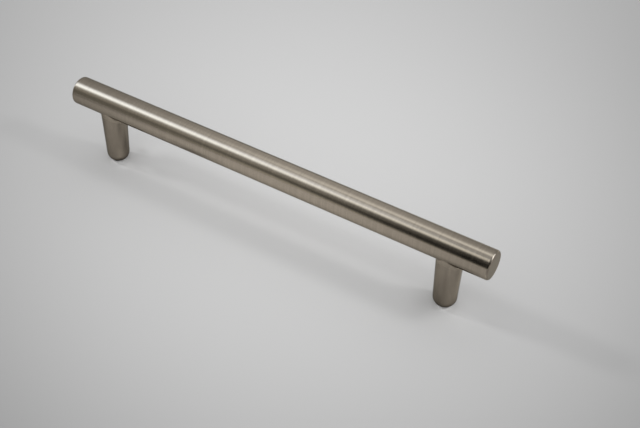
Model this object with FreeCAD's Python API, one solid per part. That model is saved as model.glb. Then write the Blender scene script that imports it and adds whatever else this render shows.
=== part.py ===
"""Bridge pull handle: one casting, a round bar carried on two round tapered legs.

The handle stands on its feet as it would against a drawer front. The origin lies on the
mounting plane, midway between the two feet. +X runs along the bar, +Z runs out from the
drawer front and -Y is the side that faces a person who looks down on it. Millimetres.
"""
import FreeCAD, Part
import math
import os

from FreeCAD import Vector

# Bar
bar_diameter = 12.0
bar_length = 195.0
bar_edge_radius = 0.9

# Height of the bar's outermost line above the mounting plane
projection = 35.0

# Legs: each is a little slimmer than the bar where it meets it, and tapers to its foot
leg_spacing = 160.0
leg_side_step = 0.45
leg_draft_deg = 1.6
junction_fillet_radius = 1.0

# Feet: a small flat land round the screw hole, rolled up into the leg's side
foot_land_width = 0.8
foot_round_height = 3.6

# Tapped screw holes, M4: the walls are at tapping drill size
screw_diameter = 4.0
screw_pitch = 0.7
tapped_depth = 18.0
drill_tip_angle_deg = 118.0
mouth_chamfer_side = 0.1

# Sizes that follow from the values above
bar_radius = bar_diameter / 2
bar_axis_height = projection - bar_radius
leg_top_radius = bar_radius - leg_side_step
leg_slope = math.tan(math.radians(leg_draft_deg))
tapping_radius = (screw_diameter - screw_pitch) / 2
mouth_radius = screw_diameter / 2 + mouth_chamfer_side
foot_face_radius = mouth_radius + foot_land_width
leg_positions = (-leg_spacing / 2, leg_spacing / 2)


def leg_radius(height):
    """Radius of the leg's drafted side at a height above the mounting plane."""
    return leg_top_radius - (bar_axis_height - height) * leg_slope


def revolved(edges, axis_direction):
    """Solid of a closed half-profile turned once round an axis through the origin."""
    face = Part.Face(Part.Wire(edges))
    return face.revolve(Vector(0, 0, 0), axis_direction, 360)


def make_bar():
    """Round bar along X, flat at both ends, with a rounded edge at each end."""
    half_length = bar_length / 2
    shoulder = half_length - bar_edge_radius
    face_radius = bar_radius - bar_edge_radius
    reach = bar_edge_radius * math.sin(math.radians(45))

    start = Vector(-half_length, 0, 0)
    start_face = Vector(-half_length, 0, face_radius)
    start_middle = Vector(-shoulder - reach, 0, face_radius + reach)
    start_side = Vector(-shoulder, 0, bar_radius)
    end_side = Vector(shoulder, 0, bar_radius)
    end_middle = Vector(shoulder + reach, 0, face_radius + reach)
    end_face = Vector(half_length, 0, face_radius)
    end = Vector(half_length, 0, 0)

    profile = [
        Part.LineSegment(start, start_face).toShape(),
        Part.Arc(start_face, start_middle, start_side).toShape(),
        Part.LineSegment(start_side, end_side).toShape(),
        Part.Arc(end_side, end_middle, end_face).toShape(),
        Part.LineSegment(end_face, end).toShape(),
        Part.LineSegment(end, start).toShape(),
    ]
    bar = revolved(profile, Vector(1, 0, 0))
    bar.translate(Vector(0, 0, bar_axis_height))
    return bar


def foot_arc(face_edge, side_edge):
    """Arc that leaves the leg's side smoothly and lands on the edge of the foot's flat.

    Its centre lies on the side's inward normal, as far from the side as from the flat's edge.
    """
    inward = Vector(-1, 0, leg_slope).normalize()
    chord = side_edge - face_edge
    radius = -chord.dot(chord) / (2 * chord.dot(inward))
    centre = side_edge + inward * radius
    outward = (side_edge + face_edge) / 2 - centre
    middle = centre + outward.normalize() * radius
    return Part.Arc(face_edge, middle, side_edge).toShape()


def make_leg():
    """Round tapered leg round the Z axis, from its foot up to the bar's axis."""
    foot_centre = Vector(0, 0, 0)
    face_edge = Vector(foot_face_radius, 0, 0)
    side_edge = Vector(leg_radius(foot_round_height), 0, foot_round_height)
    top_edge = Vector(leg_top_radius, 0, bar_axis_height)
    top_centre = Vector(0, 0, bar_axis_height)

    profile = [
        Part.LineSegment(foot_centre, face_edge).toShape(),
        foot_arc(face_edge, side_edge),
        Part.LineSegment(side_edge, top_edge).toShape(),
        Part.LineSegment(top_edge, top_centre).toShape(),
        Part.LineSegment(top_centre, foot_centre).toShape(),
    ]
    return revolved(profile, Vector(0, 0, 1))


def make_screw_hole():
    """Blind hole round the Z axis: chamfered mouth, drilled wall and pointed drill tip."""
    chamfer_depth = mouth_radius - tapping_radius
    tip_depth = tapping_radius / math.tan(math.radians(drill_tip_angle_deg / 2))

    profile = Part.makePolygon([
        Vector(0, 0, 0),
        Vector(mouth_radius, 0, 0),
        Vector(tapping_radius, 0, chamfer_depth),
        Vector(tapping_radius, 0, tapped_depth),
        Vector(0, 0, tapped_depth + tip_depth),
        Vector(0, 0, 0),
    ])
    return revolved(profile.Edges, Vector(0, 0, 1))


def junction_edges(casting):
    """Edges where the bar's round underside and the legs' sides meet."""
    underside = bar_axis_height - bar_radius
    tolerance = 0.01
    found = []
    for edge in casting.Edges:
        box = edge.BoundBox
        above_underside = box.ZMin > underside - tolerance
        below_axis = box.ZMax < bar_axis_height - tolerance
        beside_leg = any(
            abs(box.Center.x - position) < leg_top_radius
            for position in leg_positions
        )
        if above_underside and below_axis and beside_leg:
            found.append(edge)
    return found


def make_pull_handle():
    """The whole casting: bar and legs in one, blended at the joins, with tapped feet."""
    legs = [make_leg().translated(Vector(position, 0, 0)) for position in leg_positions]
    holes = [make_screw_hole().translated(Vector(position, 0, 0)) for position in leg_positions]

    casting = make_bar().multiFuse(legs)
    casting = casting.makeFillet(junction_fillet_radius, junction_edges(casting))
    return casting.cut(Part.makeCompound(holes)).Solids[0]


os.makedirs("parts", exist_ok=True)
pull_handle = make_pull_handle()
pull_handle.exportStep("parts/pull_handle.step")
print("pull_handle", "valid", pull_handle.isValid(), "volume_cm3", round(pull_handle.Volume / 1000, 3))
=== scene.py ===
import logging
import math
from collections.abc import Mapping, Sequence
from dataclasses import dataclass, field
from enum import Enum

import bpy
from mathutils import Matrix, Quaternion, Vector


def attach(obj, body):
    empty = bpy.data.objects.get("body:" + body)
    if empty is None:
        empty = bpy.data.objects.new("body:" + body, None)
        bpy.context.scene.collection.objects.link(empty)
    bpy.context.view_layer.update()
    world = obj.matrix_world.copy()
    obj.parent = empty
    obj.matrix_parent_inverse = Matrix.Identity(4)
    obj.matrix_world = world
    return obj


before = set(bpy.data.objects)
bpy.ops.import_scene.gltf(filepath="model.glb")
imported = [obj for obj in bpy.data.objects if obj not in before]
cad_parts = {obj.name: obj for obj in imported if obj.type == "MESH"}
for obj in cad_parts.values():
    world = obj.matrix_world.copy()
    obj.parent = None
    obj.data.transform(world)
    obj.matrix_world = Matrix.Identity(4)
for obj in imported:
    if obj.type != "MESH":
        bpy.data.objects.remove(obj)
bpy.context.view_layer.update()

LOG = logging.getLogger("pull_handle")
MM = 0.001

Colour = tuple[float, float, float]
Point = tuple[float, float, float]
Pair = tuple[float, float]
Span = tuple[float, float]


def rgba(colour: Colour) -> tuple[float, float, float, float]:
    """Gives a colour its full alpha, as a colour socket takes it."""
    return (*colour, 1.0)


def grey(level: float) -> tuple[float, float, float, float]:
    """Gives the neutral colour of one level, as a colour socket takes it."""
    return (level, level, level, 1.0)


def shade(colour: Colour, factor: float) -> Colour:
    """Makes a colour darker or lighter by one factor."""
    return tuple(channel * factor for channel in colour)


class Signal:
    """A quantity that varies over a surface, held as one output socket, with arithmetic."""

    def __init__(self, sheet: "NodeSheet", socket: bpy.types.NodeSocket) -> None:
        """Keeps the socket and the sheet that new Math nodes go to."""
        self.sheet = sheet
        self.socket = socket

    def out(self, name: str) -> "Signal":
        """Takes another output of the same node, by its name."""
        return Signal(self.sheet, self.socket.node.outputs[name])

    def _math(self, operation: str, *terms: "Entry") -> "Signal":
        """Adds one Math node over the given terms."""
        return self.sheet.add("ShaderNodeMath", {"operation": operation}, dict(enumerate(terms)))

    def __add__(self, other: "Entry") -> "Signal":
        """Adds another signal or a number."""
        return self._math("ADD", self, other)

    def __radd__(self, other: "Entry") -> "Signal":
        """Adds this signal to a number."""
        return self._math("ADD", other, self)

    def __sub__(self, other: "Entry") -> "Signal":
        """Takes another signal or a number away."""
        return self._math("SUBTRACT", self, other)

    def __rsub__(self, other: "Entry") -> "Signal":
        """Takes this signal away from a number."""
        return self._math("SUBTRACT", other, self)

    def __mul__(self, other: "Entry") -> "Signal":
        """Multiplies by another signal or a number."""
        return self._math("MULTIPLY", self, other)

    def __rmul__(self, other: "Entry") -> "Signal":
        """Multiplies a number by this signal."""
        return self._math("MULTIPLY", other, self)

    def __truediv__(self, other: "Entry") -> "Signal":
        """Divides by another signal or a number."""
        return self._math("DIVIDE", self, other)

    def __rtruediv__(self, other: "Entry") -> "Signal":
        """Divides a number by this signal."""
        return self._math("DIVIDE", other, self)

    def __neg__(self) -> "Signal":
        """Turns the sign round."""
        return self._math("MULTIPLY", self, -1.0)

    def __abs__(self) -> "Signal":
        """Drops the sign."""
        return self._math("ABSOLUTE", self)

    def root(self) -> "Signal":
        """Takes the square root."""
        return self._math("SQRT", self)

    def angle_from(self, across: "Signal") -> "Signal":
        """Gives the angle, in radians, whose rise is this signal and whose run is the other."""
        return self._math("ARCTAN2", self, across)

    def fade(self) -> "Signal":
        """Gives 1 where the signal is 0 and dies away as it grows: e to the minus signal."""
        return self._math("POWER", math.e, -self)

    def between(self, least: "Entry", most: "Entry", ease: float) -> "Signal":
        """Keeps the signal between two values, with a soft turn at each."""
        return self._math("SMOOTH_MIN", self._math("SMOOTH_MAX", self, least, ease), most, ease)

    def calmed(self, share: float) -> "Signal":
        """Keeps one share of a noise's play round its middle, 0.5."""
        return self * share + (1.0 - share) / 2

    def into(self, other: "Signal", share: "Signal") -> "Signal":
        """Goes over to another signal by a share from 0 to 1."""
        return self * (1.0 - share) + other * share

    def ramp(self, start: float, end: float, low: float = 0.0, high: float = 1.0) -> "Signal":
        """Goes smoothly from low to high while the signal goes from start to end.

        Args:
            start: Signal at which the result is still low.
            end: Signal at which the result has become high.
            low: Result before the start.
            high: Result after the end.

        Returns:
            The eased signal.
        """
        settings = {"interpolation_type": "SMOOTHSTEP"}
        inputs = {"Value": self, "From Min": start, "From Max": end, "To Min": low, "To Max": high}
        return self.sheet.add("ShaderNodeMapRange", settings, inputs)

    def drop(self, start: float, end: float) -> "Signal":
        """Goes smoothly from 1 to 0 while the signal goes from start to end."""
        return self.ramp(start, end, 1.0, 0.0)


Entry = Signal | float | Sequence[float]


class NodeSheet:
    """The node tree of a material or of the world, filled one node at a time."""

    def __init__(self, owner: bpy.types.Material | bpy.types.World) -> None:
        """Clears the owner's tree and keeps both.

        Args:
            owner: The material or world whose nodes are written.
        """
        owner.use_nodes = True
        self.owner = owner
        self.tree = owner.node_tree
        self.tree.nodes.clear()

    def add(
        self,
        kind: str,
        settings: Mapping[str, object] | None = None,
        inputs: Mapping[int | str, Entry] | None = None,
        output: int | str = 0,
    ) -> Signal:
        """Adds one node of any type, sets it, and fills or links its sockets.

        Args:
            kind: The node's type.
            settings: Properties of the node, which are set before its sockets.
            inputs: Values or signals by socket number, identifier or name.
            output: The output that is returned.

        Returns:
            The chosen output as a signal.
        """
        node = self.tree.nodes.new(kind)
        for name, value in (settings or {}).items():
            setattr(node, name, value)
        for name, value in (inputs or {}).items():
            socket = self._socket(node.inputs, name)
            if isinstance(value, Signal):
                self.tree.links.new(value.socket, socket)
            else:
                socket.default_value = value
        found = self._socket(node.outputs, output) if node.outputs else None
        return Signal(self, found)

    @staticmethod
    def _socket(
        sockets: bpy.types.NodeInputs | bpy.types.NodeOutputs, name: int | str
    ) -> bpy.types.NodeSocket:
        """Finds a socket.

        Args:
            sockets: The inputs or the outputs of one node.
            name: The socket's number, its identifier or its name.

        Returns:
            The socket.
        """
        if isinstance(name, int):
            return sockets[name]
        by_identifier = {socket.identifier: socket for socket in sockets}
        return by_identifier.get(name) or sockets[name]

    def place(self) -> Signal:
        """Gives the place on the piece, in the piece's own coordinates."""
        return self.add("ShaderNodeTexCoord", None, None, "Object")

    def direction(self) -> Signal:
        """Gives the direction that a ray leaves in, which only the world has."""
        return self.add("ShaderNodeTexCoord", None, None, "Generated")

    def parts(self, vector: Signal) -> tuple[Signal, Signal, Signal]:
        """Splits a vector into its x, y and z."""
        x = self.add("ShaderNodeSeparateXYZ", None, {"Vector": vector}, "X")
        return x, x.out("Y"), x.out("Z")

    def vector(self, x: Entry, y: Entry, z: Entry) -> Signal:
        """Joins three numbers or signals into one vector."""
        return self.add("ShaderNodeCombineXYZ", None, {"X": x, "Y": y, "Z": z})

    def stretched(self, place: Signal, scale: Sequence[float]) -> Signal:
        """Multiplies a place by one scale per axis."""
        return self.add("ShaderNodeVectorMath", {"operation": "MULTIPLY"}, {0: place, 1: scale})

    def noise(self, place: Signal, scale: float, detail: float = 2.0, rough: float = 0.5) -> Signal:
        """Adds an even noise from 0 to 1 round 0.5.

        Args:
            place: Coordinates that the noise is read at.
            scale: Lumps per unit of those coordinates.
            detail: Number of finer layers.
            rough: Share that each finer layer keeps.

        Returns:
            The noise value.
        """
        inputs = {"Vector": place, "Scale": scale, "Detail": detail, "Roughness": rough}
        return self.add("ShaderNodeTexNoise", None, inputs, "Fac")

    def blend(self, share: Entry, first: Entry, second: Entry) -> Signal:
        """Mixes two colours by a share."""
        inputs = {"Factor_Float": share, "A_Color": first, "B_Color": second}
        return self.add("ShaderNodeMix", {"data_type": "RGBA"}, inputs, "Result_Color")

    def tint(self, first: Entry, second: Entry, share: Entry) -> Signal:
        """Multiplies one colour by another, by a share.

        Args:
            first: The colour that is tinted.
            second: The tint.
            share: How much of the tint is taken, from 0 to 1.

        Returns:
            The tinted colour.
        """
        settings = {"data_type": "RGBA", "blend_type": "MULTIPLY"}
        inputs = {"Factor_Float": share, "A_Color": first, "B_Color": second}
        return self.add("ShaderNodeMix", settings, inputs, "Result_Color")

    def lit_by(self, colour: Entry, strength: Signal) -> Signal:
        """Scales a colour by a signal."""
        inputs = {0: colour, "Scale": strength}
        return self.add("ShaderNodeVectorMath", {"operation": "SCALE"}, inputs)

    def plus(self, first: Signal, second: Signal) -> Signal:
        """Adds one colour to another."""
        return self.add("ShaderNodeVectorMath", {"operation": "ADD"}, {0: first, 1: second})

    def relief(self, height: Signal, depth: float, strength: float = 1.0) -> Signal:
        """Turns a height from 0 to 1, over a depth in metres, into a bumped normal."""
        inputs = {"Strength": strength, "Distance": depth, "Height": height}
        return self.add("ShaderNodeBump", None, inputs)

    def rays(self, kind: str) -> Signal:
        """Gives 1 to one kind of ray and 0 to the others."""
        return self.add("ShaderNodeLightPath", None, None, kind)

    def finish(self, inputs: Mapping[str, Entry]) -> bpy.types.Material:
        """Ends a material with one Principled shader.

        Args:
            inputs: Values or signals by socket name.

        Returns:
            The finished material.
        """
        shader = self.add("ShaderNodeBsdfPrincipled", None, inputs)
        self.add("ShaderNodeOutputMaterial", None, {"Surface": shader})
        return self.owner


@dataclass(frozen=True)
class HandleSizes:
    """Sizes of the casting that the finishes and the threads are placed by, in metres."""

    bar_radius: float = 6.0 * MM
    axis_height: float = 29.0 * MM
    half_length: float = 97.5 * MM
    edge_radius: float = 0.9 * MM
    foot_spacing: float = 160.0 * MM
    bore_radius: float = 1.65 * MM


@dataclass(frozen=True)
class Zones:
    """Where a place on the casting lies: how far from the bar's axis, and masks from 0 to 1."""

    from_axis: Signal
    leg: Signal
    join: Signal
    end: Signal
    rim: Signal


@dataclass(frozen=True)
class SatinNickel:
    """Brushed nickel plate: grain round the bar, up the legs and in rings on the end faces.

    Grain is given in lumps per metre along x, y and z. The spans of leg and join are counted out
    from the bar's wall, and the depths of end and rim in from the end face.
    """

    colour: Colour = (0.389, 0.335, 0.269)
    pale: Colour = (0.464, 0.401, 0.323)
    grazing: Colour = (0.55, 0.55, 0.53)
    leg_shade: float = 0.84
    roughness: float = 0.19
    leg_roughness: float = 0.18
    end_roughness: float = 0.30
    join_roughness: float = 0.16
    roughness_play: float = 0.06
    streaks: Point = (5200.0, 130.0, 130.0)
    streak_share: float = 0.35
    bands: Point = (2500.0, 52.0, 52.0)
    leg_grain: Point = (3120.0, 3120.0, 312.0)
    leg_play: float = 0.55
    rings: float = 5200.0
    ring_play: float = 0.40
    grain_depth: float = 0.008 * MM
    mottle_scale: float = 170.0
    cloud_scale: float = 714.0
    cloud_stretch: Point = (1.0, 0.7, 0.7)
    mottle_share: float = 0.18
    cloud_share: float = 0.12
    grain_share: float = 0.70
    tone_span: Span = (0.34, 0.66)
    worn_span: Span = (0.30, 0.62)
    worn_share: float = 0.20
    worn_shade: float = 1.12
    worn_polish: float = 0.05
    leg_reach: Span = (0.5 * MM, 2.0 * MM)
    join_rise: Span = (0.02 * MM, 0.3 * MM)
    join_fall: Span = (1.0 * MM, 2.0 * MM)
    end_depth: Span = (0.02 * MM, 0.12 * MM)
    rim_depth: float = 0.3 * MM

    def material(self, name: str, sizes: HandleSizes) -> bpy.types.Material:
        """Writes the finish as a material.

        Args:
            name: Name of the material.
            sizes: Sizes of the casting that the three grains follow.

        Returns:
            The finished material.
        """
        sheet = NodeSheet(bpy.data.materials.new(name))
        place = sheet.place()
        zones = self._zones(sheet, place, sizes)
        grain = self._grain(sheet, place, zones)
        mottle = sheet.noise(place, self.mottle_scale, detail=4.0, rough=0.6)
        worn = (zones.rim * (1.0 - zones.end) * mottle.ramp(*self.worn_span)).ramp(0.0, 1.0)

        clouds = sheet.stretched(place, self.cloud_stretch)
        clouds = sheet.noise(clouds, self.cloud_scale, detail=3.0, rough=0.65)
        tone = mottle * self.mottle_share + clouds * self.cloud_share + grain * self.grain_share
        colour = sheet.blend(tone.ramp(*self.tone_span), rgba(self.colour), rgba(self.pale))
        bare = rgba(shade(self.pale, self.worn_shade))
        colour = sheet.blend(worn * self.worn_share, colour, bare)

        rough = zones.leg * (self.leg_roughness - self.roughness) + self.roughness
        rough = rough + zones.end * (self.end_roughness - self.roughness)
        rough = rough + (mottle + grain - 1.0) * self.roughness_play
        rough = rough - worn * self.worn_polish + zones.join * self.join_roughness
        return sheet.finish(
            {
                "Base Color": sheet.tint(colour, grey(self.leg_shade), zones.leg),
                "Metallic": 1.0,
                "Roughness": rough,
                "Specular Tint": rgba(self.grazing),
                "Normal": sheet.relief(grain, self.grain_depth),
            }
        )

    def _zones(self, sheet: NodeSheet, place: Signal, sizes: HandleSizes) -> Zones:
        """Tells the bar, the legs, their joins, the end faces and their rims apart.

        Args:
            sheet: Tree that the nodes go to.
            place: Place on the casting.
            sizes: Sizes of the casting.

        Returns:
            The zones.
        """
        x, y, height = sheet.parts(place)
        above_axis = height - sizes.axis_height
        from_axis = (y * y + above_axis * above_axis).root()
        past_bar = from_axis - sizes.bar_radius
        from_end = sizes.half_length - abs(x)
        return Zones(
            from_axis=from_axis,
            leg=past_bar.ramp(*self.leg_reach),
            join=past_bar.ramp(*self.join_rise) * past_bar.drop(*self.join_fall),
            end=from_end.drop(*self.end_depth),
            rim=from_end.drop(self.rim_depth, sizes.edge_radius),
        )

    def _grain(self, sheet: NodeSheet, place: Signal, zones: Zones) -> Signal:
        """Joins the grain of the bar, the legs and the end faces.

        Args:
            sheet: Tree that the nodes go to.
            place: Place on the casting.
            zones: Where that place lies.

        Returns:
            The height of the grain, from 0 to 1.
        """
        streaks = sheet.noise(sheet.stretched(place, self.streaks), 1.0)
        bands = sheet.noise(sheet.stretched(place, self.bands), 1.0)
        bar = streaks * self.streak_share + bands * (1.0 - self.streak_share)
        leg = sheet.noise(sheet.stretched(place, self.leg_grain), 1.0, detail=3.0, rough=0.6)
        rings = sheet.noise(sheet.vector(zones.from_axis * self.rings, 0.0, 0.0), 1.0)
        side = bar.into(leg.calmed(self.leg_play), zones.leg)
        return side.into(rings.calmed(self.ring_play), zones.end)


@dataclass(frozen=True)
class CutThread:
    """Bright metal left by the tap inside the two feet."""

    colour: Colour = (0.56, 0.54, 0.50)
    dark: Colour = (0.40, 0.38, 0.345)
    roughness: float = 0.32
    roughness_play: float = 0.16
    tear_scale: float = 2600.0
    tear_stretch: Point = (0.5, 0.5, 2.2)
    tear_depth: float = 0.006 * MM
    tone_span: Span = (0.35, 0.65)

    def material(self, name: str) -> bpy.types.Material:
        """Writes the finish as a material.

        Args:
            name: Name of the material.

        Returns:
            The finished material.
        """
        sheet = NodeSheet(bpy.data.materials.new(name))
        place = sheet.stretched(sheet.place(), self.tear_stretch)
        tears = sheet.noise(place, self.tear_scale, detail=3.0, rough=0.6)
        colour = sheet.blend(tears.ramp(*self.tone_span), rgba(self.dark), rgba(self.colour))
        smoothest = self.roughness - self.roughness_play / 2
        return sheet.finish(
            {
                "Base Color": colour,
                "Metallic": 1.0,
                "Roughness": tears * self.roughness_play + smoothest,
                "Normal": sheet.relief(tears, self.tear_depth),
            }
        )


@dataclass(frozen=True)
class PaintedLightPatch:
    """One patch of painted light or painted shade on the table: its middle and its reach, in
    millimetres.
    """

    along: float
    depth: float
    width: float
    length: float
    gain: float

    def factor(self, x: Signal, y: Signal) -> Signal:
        """Gives the factor of painted light or painted shade that the patch puts on the table's
        tone.

        Args:
            x: Place along the bar.
            y: Place across the bar.

        Returns:
            The factor, 1 away from the patch.
        """
        right = (x - self.along * MM) * (1.0 / (self.width * MM))
        back = (y - self.depth * MM) * (1.0 / (self.length * MM))
        return 1.0 + self.gain * (right * right + back * back).fade()


@dataclass(frozen=True)
class SeenTone:
    """The table's tone as the camera sees it: a painted pool of light on a painted slope of light.

    The painted pool, the painted slope and the painted light thrown back behind the bar are placed
    in metres.
    Each patch then paints light or shade on its own place, round the feet and along the legs'
    shadows.
    """

    # painted light: a painted pool of light and a painted slope of falling light on the table
    pool: float = 0.868
    centre: Pair = (0.0486, -0.0559)
    turn: float = 0.6212
    fall_across: float = 16.15
    fall_along: float = 11.21
    under: float = -0.157
    slope: Pair = (-0.756, 1.5615)
    limits: Pair = (0.36, 0.69)
    brightest: float = 0.96
    ease: float = 0.05
    # painted light: light that the bar throws back, painted on the table behind the bar
    painted_bounce: float = 0.085
    painted_bounce_depth: float = 7.5 * MM
    painted_bounce_width: float = 11.0 * MM
    painted_bounce_ends: Span = (66.0 * MM, 84.0 * MM)
    # painted light and painted shade round the feet and along the shadows of the legs
    painted_patches: tuple[PaintedLightPatch, ...] = (
        PaintedLightPatch(87.0, -2.0, 8.0, 9.0, 0.10),
        PaintedLightPatch(-79.2, -1.25, 1.97, 1.97, 3.4),
        PaintedLightPatch(-79.5, -6.0, 5.0, 4.0, 0.07),
        PaintedLightPatch(80.7, -1.05, 1.95, 1.95, 4.0),
        PaintedLightPatch(-74.5, -3.4, 3.0, 3.0, 0.20),
        PaintedLightPatch(73.0, -4.0, 5.0, 5.0, -0.10),
        PaintedLightPatch(86.0, -3.4, 2.5, 2.5, 0.05),
        PaintedLightPatch(-71.0, -2.2, 4.0, 1.6, 0.14),
        PaintedLightPatch(-64.5, -0.4, 4.8, 2.0, 0.11),
        PaintedLightPatch(-73.5, 8.2, 3.5, 2.2, -0.14),
        PaintedLightPatch(93.0, -2.2, 7.5, 1.5, 0.045),
    )

    def level(self, x: Signal, y: Signal) -> Signal:
        """Gives the tone at a place on the table.

        Args:
            x: Place along the bar.
            y: Place across the bar.

        Returns:
            The tone, from 0 to 1.
        """
        # painted pool of light and painted slope of falling light
        right, back = x - self.centre[0], y - self.centre[1]
        across = right * math.cos(self.turn) + back * math.sin(self.turn)
        along = back * math.cos(self.turn) - right * math.sin(self.turn)
        fall = across * across * self.fall_across + along * along * self.fall_along
        slope = x * self.slope[0] + y * self.slope[1] + self.under
        level = (slope + fall.fade() * self.pool).between(*self.limits, self.ease)
        # painted light that the bar throws back onto the table behind it
        behind = (y - self.painted_bounce_depth) * (1.0 / self.painted_bounce_width)
        painted_bounce_mask = (behind * behind).fade() * abs(x).drop(*self.painted_bounce_ends)
        level = level * (1.0 + painted_bounce_mask * self.painted_bounce)
        # each patch paints light or shade on its own place
        for patch in self.painted_patches:
            level = level * patch.factor(x, y)
        return level.between(0.0, self.brightest, self.ease)


@dataclass(frozen=True)
class MirroredTone:
    """The table's tone as the metal mirrors it: a painted lane of light between painted darker
    sides.

    The lane is placed in metres and widens away from the bar. Each patch then paints light or shade
    on
    its own place: painted shade round the feet and painted light by the bar's right end.
    """

    peak: float = 0.675
    middle: float = 0.008
    lean: float = 0.38
    width: float = 0.159
    near_width: float = 0.95
    spread: float = 1.66
    least: Pair = (0.27, 0.40)
    least_from: Span = (-0.08, 0.04)
    ease: float = 0.06
    # painted shade and painted light that only the metal's reflections see: shade round the feet,
    # light by the right end
    painted_patches: tuple[PaintedLightPatch, ...] = (
        PaintedLightPatch(-67.0, 8.0, 8.0, 8.0, -0.45),
        PaintedLightPatch(-73.0, -5.0, 5.0, 5.0, 0.30),
        PaintedLightPatch(-79.0, -20.0, 14.0, 12.0, -0.06),
        PaintedLightPatch(-50.0, -12.0, 9.0, 14.0, -0.46),
        PaintedLightPatch(72.0, -4.0, 5.0, 5.0, -0.12),
        PaintedLightPatch(82.0, -16.0, 6.0, 9.0, -0.26),
        PaintedLightPatch(78.0, -7.5, 4.5, 3.5, -0.32),
        PaintedLightPatch(72.0, -14.0, 6.0, 9.0, -0.16),
        PaintedLightPatch(97.0, -27.0, 5.0, 5.0, 0.80),
        PaintedLightPatch(107.5, -15.0, 4.0, 4.0, 0.80),
        PaintedLightPatch(100.0, 30.0, 14.0, 11.0, 0.28),
        PaintedLightPatch(92.0, 14.0, 9.0, 9.0, 0.55),
        PaintedLightPatch(90.0, 5.0, 7.0, 7.0, 0.22),
        PaintedLightPatch(-64.5, -29.5, 8.5, 7.5, -0.18),
        PaintedLightPatch(-240.0, -200.0, 75.0, 100.0, -0.60),
        PaintedLightPatch(-80.0, 0.0, 5.4, 5.4, -0.90),
        PaintedLightPatch(80.0, 0.0, 5.6, 5.6, -0.90),
    )

    def level(self, x: Signal, y: Signal) -> Signal:
        """Gives the tone at a place on the table.

        Args:
            x: Place along the bar.
            y: Place across the bar.

        Returns:
            The tone, from 0 to 1.
        """
        # painted lane of light, with painted darker sides
        aside = x - y * self.lean - self.middle
        aside = aside / (abs(y) * self.spread + self.near_width) * (1.0 / self.width)
        lane = (aside * aside).fade() * self.peak
        level = lane.between(y.ramp(*self.least_from, *self.least), 1.0, self.ease)
        # each patch paints light or shade on its own place
        for patch in self.painted_patches:
            level = level * patch.factor(x, y)
        return level


@dataclass(frozen=True)
class PaleTable:
    """Matt white board with painted light and shade: one painted tone for the camera and one for
    the metal above it.
    """

    seen: SeenTone = field(default_factory=SeenTone)
    mirrored: MirroredTone = field(default_factory=MirroredTone)
    roughness: float = 0.85
    gloss: float = 0.15
    fibre_scale: float = 900.0
    fibre_depth: float = 0.02 * MM
    fibre_strength: float = 0.4

    def material(self, name: str) -> bpy.types.Material:
        """Writes the board as a material.

        Args:
            name: Name of the material.

        Returns:
            The finished material.
        """
        sheet = NodeSheet(bpy.data.materials.new(name))
        place = sheet.place()
        x, y, _ = sheet.parts(place)
        # the camera sees one set of painted light and shade on the table, the metal's reflections
        # the other
        level = self.seen.level(x, y).into(self.mirrored.level(x, y), sheet.rays("Is Glossy Ray"))
        fibres = sheet.noise(place, self.fibre_scale, detail=3.0, rough=0.6)
        return sheet.finish(
            {
                "Base Color": sheet.vector(level, level, level),
                "Roughness": self.roughness,
                "Specular IOR Level": self.gloss,
                "Normal": sheet.relief(fibres, self.fibre_depth, self.fibre_strength),
            }
        )


class Bench:
    """Work that every modelled piece shares."""

    @staticmethod
    def clear() -> None:
        """Leaves nothing selected, so that the next operator acts on its own piece only."""
        if bpy.context.mode != "OBJECT":
            bpy.ops.object.mode_set(mode="OBJECT")
        bpy.ops.object.select_all(action="DESELECT")

    @staticmethod
    def pick(piece: bpy.types.Object) -> None:
        """Makes one piece the only selected one and the active one.

        Args:
            piece: The piece.
        """
        Bench.clear()
        piece.select_set(True)
        bpy.context.view_layer.objects.active = piece

    @staticmethod
    def dress(piece: bpy.types.Object, material: bpy.types.Material) -> None:
        """Gives a piece one material in every slot that it has.

        Args:
            piece: The piece.
            material: The material.
        """
        if not piece.material_slots:
            piece.data.materials.append(material)
        for row in piece.material_slots:
            row.material = material

    @staticmethod
    def settle(piece: bpy.types.Object) -> None:
        """Puts a piece's place into its mesh, so that its object is unturned at the origin."""
        Bench.pick(piece)
        bpy.ops.object.transform_apply(location=True, rotation=True, scale=True)


@dataclass
class Casting:
    """The one cast piece: the bar, its two legs and their round feet."""

    sizes: HandleSizes = field(default_factory=HandleSizes)
    finish: SatinNickel = field(default_factory=SatinNickel)
    node: str = "pull_handle"

    def build(self) -> list[bpy.types.Object]:
        """Dresses the casting, whose shape is the frame's own.

        Returns:
            The casting, in a list.
        """
        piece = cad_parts[self.node]
        Bench.dress(piece, self.finish.material("satin_nickel_plate", self.sizes))
        return [piece]


class Side(Enum):
    """The two feet, by the sign of their place along the bar."""

    LEFT = -1
    RIGHT = 1

    @property
    def label(self) -> str:
        """The side as it stands in a piece's name."""
        return self.name.lower()


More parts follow.
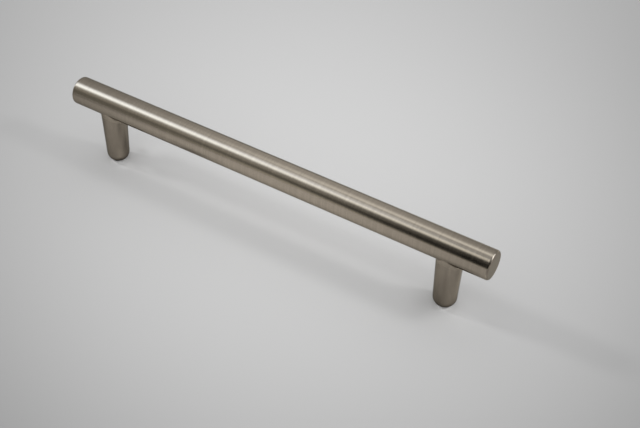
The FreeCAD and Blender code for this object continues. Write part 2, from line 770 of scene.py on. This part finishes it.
@dataclass
class ScrewThread:
    """The tapped turns inside one foot: a V-shaped ridge that winds up the bore."""

    side: Side
    material: bpy.types.Material
    sizes: HandleSizes = field(default_factory=HandleSizes)
    pitch: float = 0.7 * MM
    rise: float = 0.21 * MM
    buried: float = 0.06 * MM
    root_share: float = 0.80
    crest_share: float = 0.16
    first_height: float = 0.95 * MM
    turns: int = 21
    steps: int = 36
    cap_sides: int = 8
    weld: float = 1e-7
    smooth_below: float = math.radians(35.0)

    def build(self) -> list[bpy.types.Object]:
        """Models the ridge and puts it in its foot.

        Returns:
            The ridge, in a list.
        """
        piece = self._profile()
        self._wind(piece)
        self._close(piece)
        piece.location = (self.side.value * self.sizes.foot_spacing / 2, 0.0, self.first_height)
        Bench.settle(piece)
        Bench.dress(piece, self.material)
        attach(piece, "root")
        return [piece]

    def _profile(self) -> bpy.types.Object:
        """Makes the ridge's section, a small trapezium that stands on the bore's wall.

        Returns:
            The piece, with its axis on the origin.
        """
        Bench.clear()
        depth = self.rise + self.buried
        middle = self.sizes.bore_radius + self.buried - depth / 2
        bpy.ops.mesh.primitive_plane_add(
            size=1.0, location=(middle, 0.0, 0.0), rotation=(math.pi / 2, 0.0, 0.0)
        )
        piece = bpy.context.active_object
        piece.name = f"screw_thread_{self.side.label}"
        piece.data.name = piece.name
        piece.scale = (depth, self.pitch * self.root_share, 1.0)
        Bench.settle(piece)
        for vertex in piece.data.vertices:
            vertex.select = vertex.co.x < middle
        for edge in piece.data.edges:
            edge.select = all(piece.data.vertices[i].co.x < middle for i in edge.vertices)
        for face in piece.data.polygons:
            face.select = False
        bpy.ops.object.mode_set(mode="EDIT")
        bpy.ops.transform.resize(value=(1.0, 1.0, self.crest_share / self.root_share))
        bpy.ops.mesh.select_all(action="SELECT")
        bpy.ops.mesh.delete(type="ONLY_FACE")
        bpy.ops.object.mode_set(mode="OBJECT")
        return piece

    def _wind(self, piece: bpy.types.Object) -> None:
        """Winds the section up the bore.

        Args:
            piece: The section.
        """
        wind = piece.modifiers.new("wind", "SCREW")
        wind.axis = "Z"
        wind.angle = math.tau
        wind.screw_offset = self.pitch
        wind.iterations = self.turns
        wind.steps = self.steps
        wind.render_steps = self.steps
        wind.use_smooth_shade = True
        bpy.ops.object.modifier_apply(modifier=wind.name)

    def _close(self, piece: bpy.types.Object) -> None:
        """Closes the two ends of the winding and turns every face outwards.

        Args:
            piece: The wound ridge.
        """
        Bench.pick(piece)
        bpy.ops.object.mode_set(mode="EDIT")
        bpy.ops.mesh.select_mode(type="EDGE")
        bpy.ops.mesh.select_all(action="SELECT")
        bpy.ops.mesh.remove_doubles(threshold=self.weld)
        bpy.ops.mesh.select_all(action="DESELECT")
        bpy.ops.mesh.select_non_manifold()
        bpy.ops.mesh.fill_holes(sides=self.cap_sides)
        bpy.ops.mesh.select_all(action="SELECT")
        bpy.ops.mesh.normals_make_consistent(inside=False)
        bpy.ops.object.mode_set(mode="OBJECT")
        bpy.ops.object.shade_smooth_by_angle(angle=self.smooth_below)


@dataclass(frozen=True)
class SoftLamp:
    """One soft round lamp, by the direction that it stands in.

    Its share is the level of light that it gives to the middle of a white table.
    """

    name: str
    towards: Point
    distance: float
    diameter: float
    share: float

    def build(self) -> bpy.types.Object:
        """Hangs the lamp, aimed at the middle of the table.

        Returns:
            The lamp object.
        """
        direction = Vector(self.towards).normalized()
        data = bpy.data.lights.new(self.name, "AREA")
        data.shape = "DISK"
        data.size = self.diameter
        data.energy = self.share * (math.pi * self.distance) ** 2 / direction.z
        lamp = bpy.data.objects.new(self.name, data)
        bpy.context.scene.collection.objects.link(lamp)
        lamp.location = direction * self.distance
        lamp.rotation_mode = "QUATERNION"
        lamp.rotation_quaternion = direction.to_track_quat("Z", "Y")
        lamp.visible_glossy = False
        lamp.visible_camera = False
        return lamp


@dataclass(frozen=True)
class Heading:
    """Where a ray goes: its three parts, and its angle over the top from the front, in degrees."""

    sideways: Signal
    depth: Signal
    up: Signal
    over: Signal


@dataclass(frozen=True)
class StripLight:
    """One long soft light overhead, as polished metal mirrors it.

    It rises and falls over two spans of degrees over the top. Its level and colour go from the
    left ones to the right ones while sideways goes from "starts" to "until". The hump of light
    weakens it by "dip", and over the span "cut" it comes down to the share "beyond".
    """

    rise: Span
    fall: Span
    levels: Pair
    colours: tuple[Colour, Colour]
    until: float
    dip: float = 0.0
    beyond: float = 1.0
    starts: float = -0.59
    cut: Span = (-0.236, -0.17)

    def light(self, sheet: NodeSheet, sideways: Signal, over: Signal, hump: Signal) -> Signal:
        """Gives the strip's light.

        Args:
            sheet: Tree that the nodes go to.
            sideways: The direction's x.
            over: The angle over the top that the strip follows.
            hump: The hump of light, from 0 to 1.

        Returns:
            The light as a colour.
        """
        level = sideways.ramp(self.starts, self.until, *self.levels) - hump * self.dip
        level = level * sideways.ramp(*self.cut, 1.0, self.beyond)
        band = over.ramp(*self.rise) * over.drop(*self.fall)
        left, right = (rgba(colour) for colour in self.colours)
        hue = sheet.blend(sideways.ramp(self.starts, self.until), left, right)
        return sheet.lit_by(hue, level * band)


@dataclass(frozen=True)
class Glint:
    """The lamp on the right as polished metal mirrors it: a small round light with a soft rim."""

    towards: Point = (0.58, 0.344, 0.739)
    rim: Span = (0.86, 0.99)
    strength: float = 1.3
    colour: Colour = (0.95, 1.0, 1.12)

    def light(self, sheet: NodeSheet, heading: Heading) -> Signal:
        """Gives the glint's light.

        Args:
            sheet: Tree that the nodes go to.
            heading: Where the ray goes.

        Returns:
            The light as a colour.
        """
        aim = Vector(self.towards).normalized()
        nearness = heading.sideways * aim.x + heading.depth * aim.y + heading.up * aim.z
        return sheet.lit_by(self.colour, nearness.ramp(*self.rim) * self.strength)


@dataclass(frozen=True)
class Room:
    """The room's light: a plain one on matt things, and a room with strips that metal mirrors.

    The spans called edge, rise and fall are spans of sideways, the x of a direction, which goes
    from -1 at the left to 1 at the right. Those called angles are spans of degrees over the top,
    from 0 at the front to 180 at the rear. A pair holds the levels, or the lift of the sill in
    degrees, before and after its edge. The strips follow a bow, whose reach is in degrees.
    """

    ambient: float = 0.78
    backdrop: float = 0.375
    below: float = 0.58
    below_edge: Span = (-0.02, 0.02)
    front: Pair = (0.19, 0.0)
    front_edge: Span = (-0.46, -0.30)
    front_right: float = 0.34
    front_right_edge: Span = (0.55, 0.85)
    sill: float = 0.68
    sill_edge: Span = (-0.515, -0.405)
    sill_angles: Span = (7.0, 23.0)
    sill_lift: Pair = (-3.0, 12.5)
    sill_lift_edge: Span = (-0.44, -0.28)
    shoulder: Pair = (0.43, 0.04)
    shoulder_edge: Span = (-0.42, -0.275)
    shoulder_angles: Span = (25.0, 45.0)
    hump_rise: Span = (-0.57, -0.42)
    hump_fall: Span = (-0.36, -0.16)
    rear: float = 0.37
    rear_middle: float = 0.28
    rear_angles: Span = (56.0, 92.0)
    rear_fall: float = 0.16
    rear_fall_angles: Span = (140.0, 175.0)
    rear_fall_edge: Span = (-0.38, -0.28)
    low_tint: Colour = (1.01, 1.0, 0.93)
    high_tint: Colour = (0.99, 1.0, 1.02)
    tint_angles: Span = (35.0, 60.0)
    bow: float = 156.0
    bow_middle: float = -0.42
    bow_reach: Pair = (-1.5, 2.5)
    bow_ease: float = 0.5
    strips: tuple[StripLight, ...] = (
        StripLight(
            rise=(51.0, 67.0),
            fall=(70.5, 80.5),
            levels=(0.82, 1.40),
            colours=((0.93, 1.03, 1.12), (1.00, 1.01, 0.98)),
            until=-0.21,
            dip=0.30,
            beyond=0.10,
        ),
        StripLight(
            rise=(57.0, 77.0),
            fall=(78.0, 103.4),
            levels=(1.86, 0.0),
            colours=((0.93, 1.07, 1.26), (0.93, 1.07, 1.26)),
            until=-0.19,
        ),
        StripLight(
            rise=(98.5, 109.0),
            fall=(115.0, 126.0),
            levels=(0.0, 0.83),
            colours=((0.99, 1.04, 1.07), (0.99, 1.04, 1.07)),
            until=-0.21,
        ),
    )
    glint: Glint = field(default_factory=Glint)

    def build(self) -> None:
        """Writes the room as the scene's world, with a pale board behind the handle."""
        world = bpy.data.worlds.new("studio_room")
        bpy.context.scene.world = world
        sheet = NodeSheet(world)
        camera_rays = sheet.rays("Is Camera Ray")
        seen = sheet.blend(camera_rays, grey(self.ambient), grey(self.backdrop))
        shown = sheet.blend(camera_rays.out("Is Glossy Ray"), seen, self._mirrored(sheet))
        light = sheet.add("ShaderNodeBackground", None, {"Color": shown})
        sheet.add("ShaderNodeOutputWorld", None, {"Surface": light})

    def _mirrored(self, sheet: NodeSheet) -> Signal:
        """Gives the room that metal mirrors.

        Args:
            sheet: Tree that the nodes go to.

        Returns:
            The light as a colour.
        """
        sideways, depth, up = sheet.parts(sheet.direction())
        over = up.angle_from(-depth) * (180.0 / math.pi)
        hump = sideways.ramp(*self.hump_rise) * sideways.drop(*self.hump_fall)
        tint = sheet.blend(over.ramp(*self.tint_angles), rgba(self.low_tint), rgba(self.high_tint))
        total = sheet.lit_by(tint, self._wall(sideways, over, hump))
        aside = sideways - self.bow_middle
        bowed = aside * aside * self.bow + self.bow_reach[0]
        bowed = over + bowed.between(*self.bow_reach, self.bow_ease)
        for strip in self.strips:
            total = sheet.plus(total, strip.light(sheet, sideways, bowed, hump))
        heading = Heading(sideways, depth, up, over)
        total = sheet.plus(total, self.glint.light(sheet, heading))
        return sheet.blend(up.drop(*self.below_edge), total, grey(self.below))

    def _wall(self, sideways: Signal, over: Signal, hump: Signal) -> Signal:
        """Gives the light between the strips, from the front over the top to the rear.

        Args:
            sideways: The direction's x.
            over: The direction's angle over the top.
            hump: The hump of light, from 0 to 1.

        Returns:
            The light's level.
        """
        front = sideways.ramp(*self.front_edge, *self.front)
        front = front + sideways.ramp(*self.front_right_edge) * self.front_right
        lifted = over + sideways.ramp(*self.sill_lift_edge, *self.sill_lift)
        sill = (self.sill - front) * sideways.ramp(*self.sill_edge) * lifted.drop(*self.sill_angles)
        shoulder = sideways.ramp(*self.shoulder_edge, *self.shoulder)
        rear = hump * self.rear_middle + self.rear
        lost = over.ramp(*self.rear_fall_angles) * sideways.ramp(*self.rear_fall_edge)
        rear = rear * (1.0 - lost * self.rear_fall)
        wall = (front + sill).into(shoulder, over.ramp(*self.shoulder_angles))
        return wall.into(rear, over.ramp(*self.rear_angles))


@dataclass
class Studio:
    """Table, room and lamps."""

    table: PaleTable = field(default_factory=PaleTable)
    table_radius: float = 1.5
    table_sides: int = 96
    table_drop: float = 0.02 * MM
    room: Room = field(default_factory=Room)
    lamps: tuple[SoftLamp, ...] = (
        SoftLamp("lamp_right", (0.67, 0.215, 0.69), 0.62, 0.110, 0.10),
        SoftLamp("lamp_left", (-0.80, -0.14, 0.58), 0.75, 0.110, 0.12),
    )

    def build(self) -> None:
        """Makes the table, the room's light and the lamps."""
        self._table()
        self.room.build()
        for lamp in self.lamps:
            lamp.build()

    def _table(self) -> None:
        """Lays the round table a hair below the feet."""
        Bench.clear()
        bpy.ops.mesh.primitive_circle_add(
            vertices=self.table_sides,
            radius=self.table_radius,
            fill_type="TRIFAN",
            location=(0.0, 0.0, -self.table_drop),
        )
        board = bpy.context.active_object
        board.name = "table_board"
        Bench.settle(board)
        Bench.dress(board, self.table.material("pale_board"))


@dataclass(frozen=True)
class PhotoCamera:
    """The viewpoint of the product picture, in metres and radians, with its lens in millimetres."""

    place: Point = (0.19656, -0.29652, 0.33028)
    azimuth: float = 0.5297
    elevation: float = 0.7386
    roll: float = 0.0347
    lens: float = 66.085
    sensor: float = 36.0
    clip: Pair = (0.01, 50.0)

    def build(self) -> bpy.types.Object:
        """Sets the camera up and makes it the scene's own.

        Returns:
            The camera object.
        """
        data = bpy.data.cameras.new("photo_camera")
        data.lens = self.lens
        data.sensor_width = self.sensor
        data.clip_start, data.clip_end = self.clip
        camera = bpy.data.objects.new("photo_camera", data)
        bpy.context.scene.collection.objects.link(camera)
        level = math.cos(self.elevation)
        forward = Vector(
            (
                -math.sin(self.azimuth) * level,
                math.cos(self.azimuth) * level,
                -math.sin(self.elevation),
            )
        )
        rolled = Quaternion((0.0, 0.0, 1.0), self.roll)
        camera.location = self.place
        camera.rotation_mode = "QUATERNION"
        camera.rotation_quaternion = forward.to_track_quat("-Z", "Y") @ rolled
        bpy.context.scene.camera = camera
        return camera


def report(pieces: Sequence[bpy.types.Object]) -> None:
    """Logs each piece with its face count and its reach along each axis in millimetres.

    Args:
        pieces: The finished pieces.
    """
    for piece in pieces:
        corners = [Vector(corner) for corner in piece.bound_box]
        reach = [(max(c[i] for c in corners) - min(c[i] for c in corners)) / MM for i in range(3)]
        faces = len(piece.data.polygons)
        LOG.info("%s: %d faces, %.1f x %.1f x %.1f mm", piece.name, faces, *reach)


def main() -> None:
    """Builds the camera, the handle and the studio in order."""
    logging.basicConfig(level=logging.INFO, format="%(message)s")
    bpy.context.scene.view_settings.view_transform = "Standard"
    PhotoCamera().build()
    cut_thread = CutThread().material("cut_thread")
    report(Casting().build())
    for side in Side:
        report(ScrewThread(side, cut_thread).build())
    Studio().build()


if __name__ == "__main__":
    main()
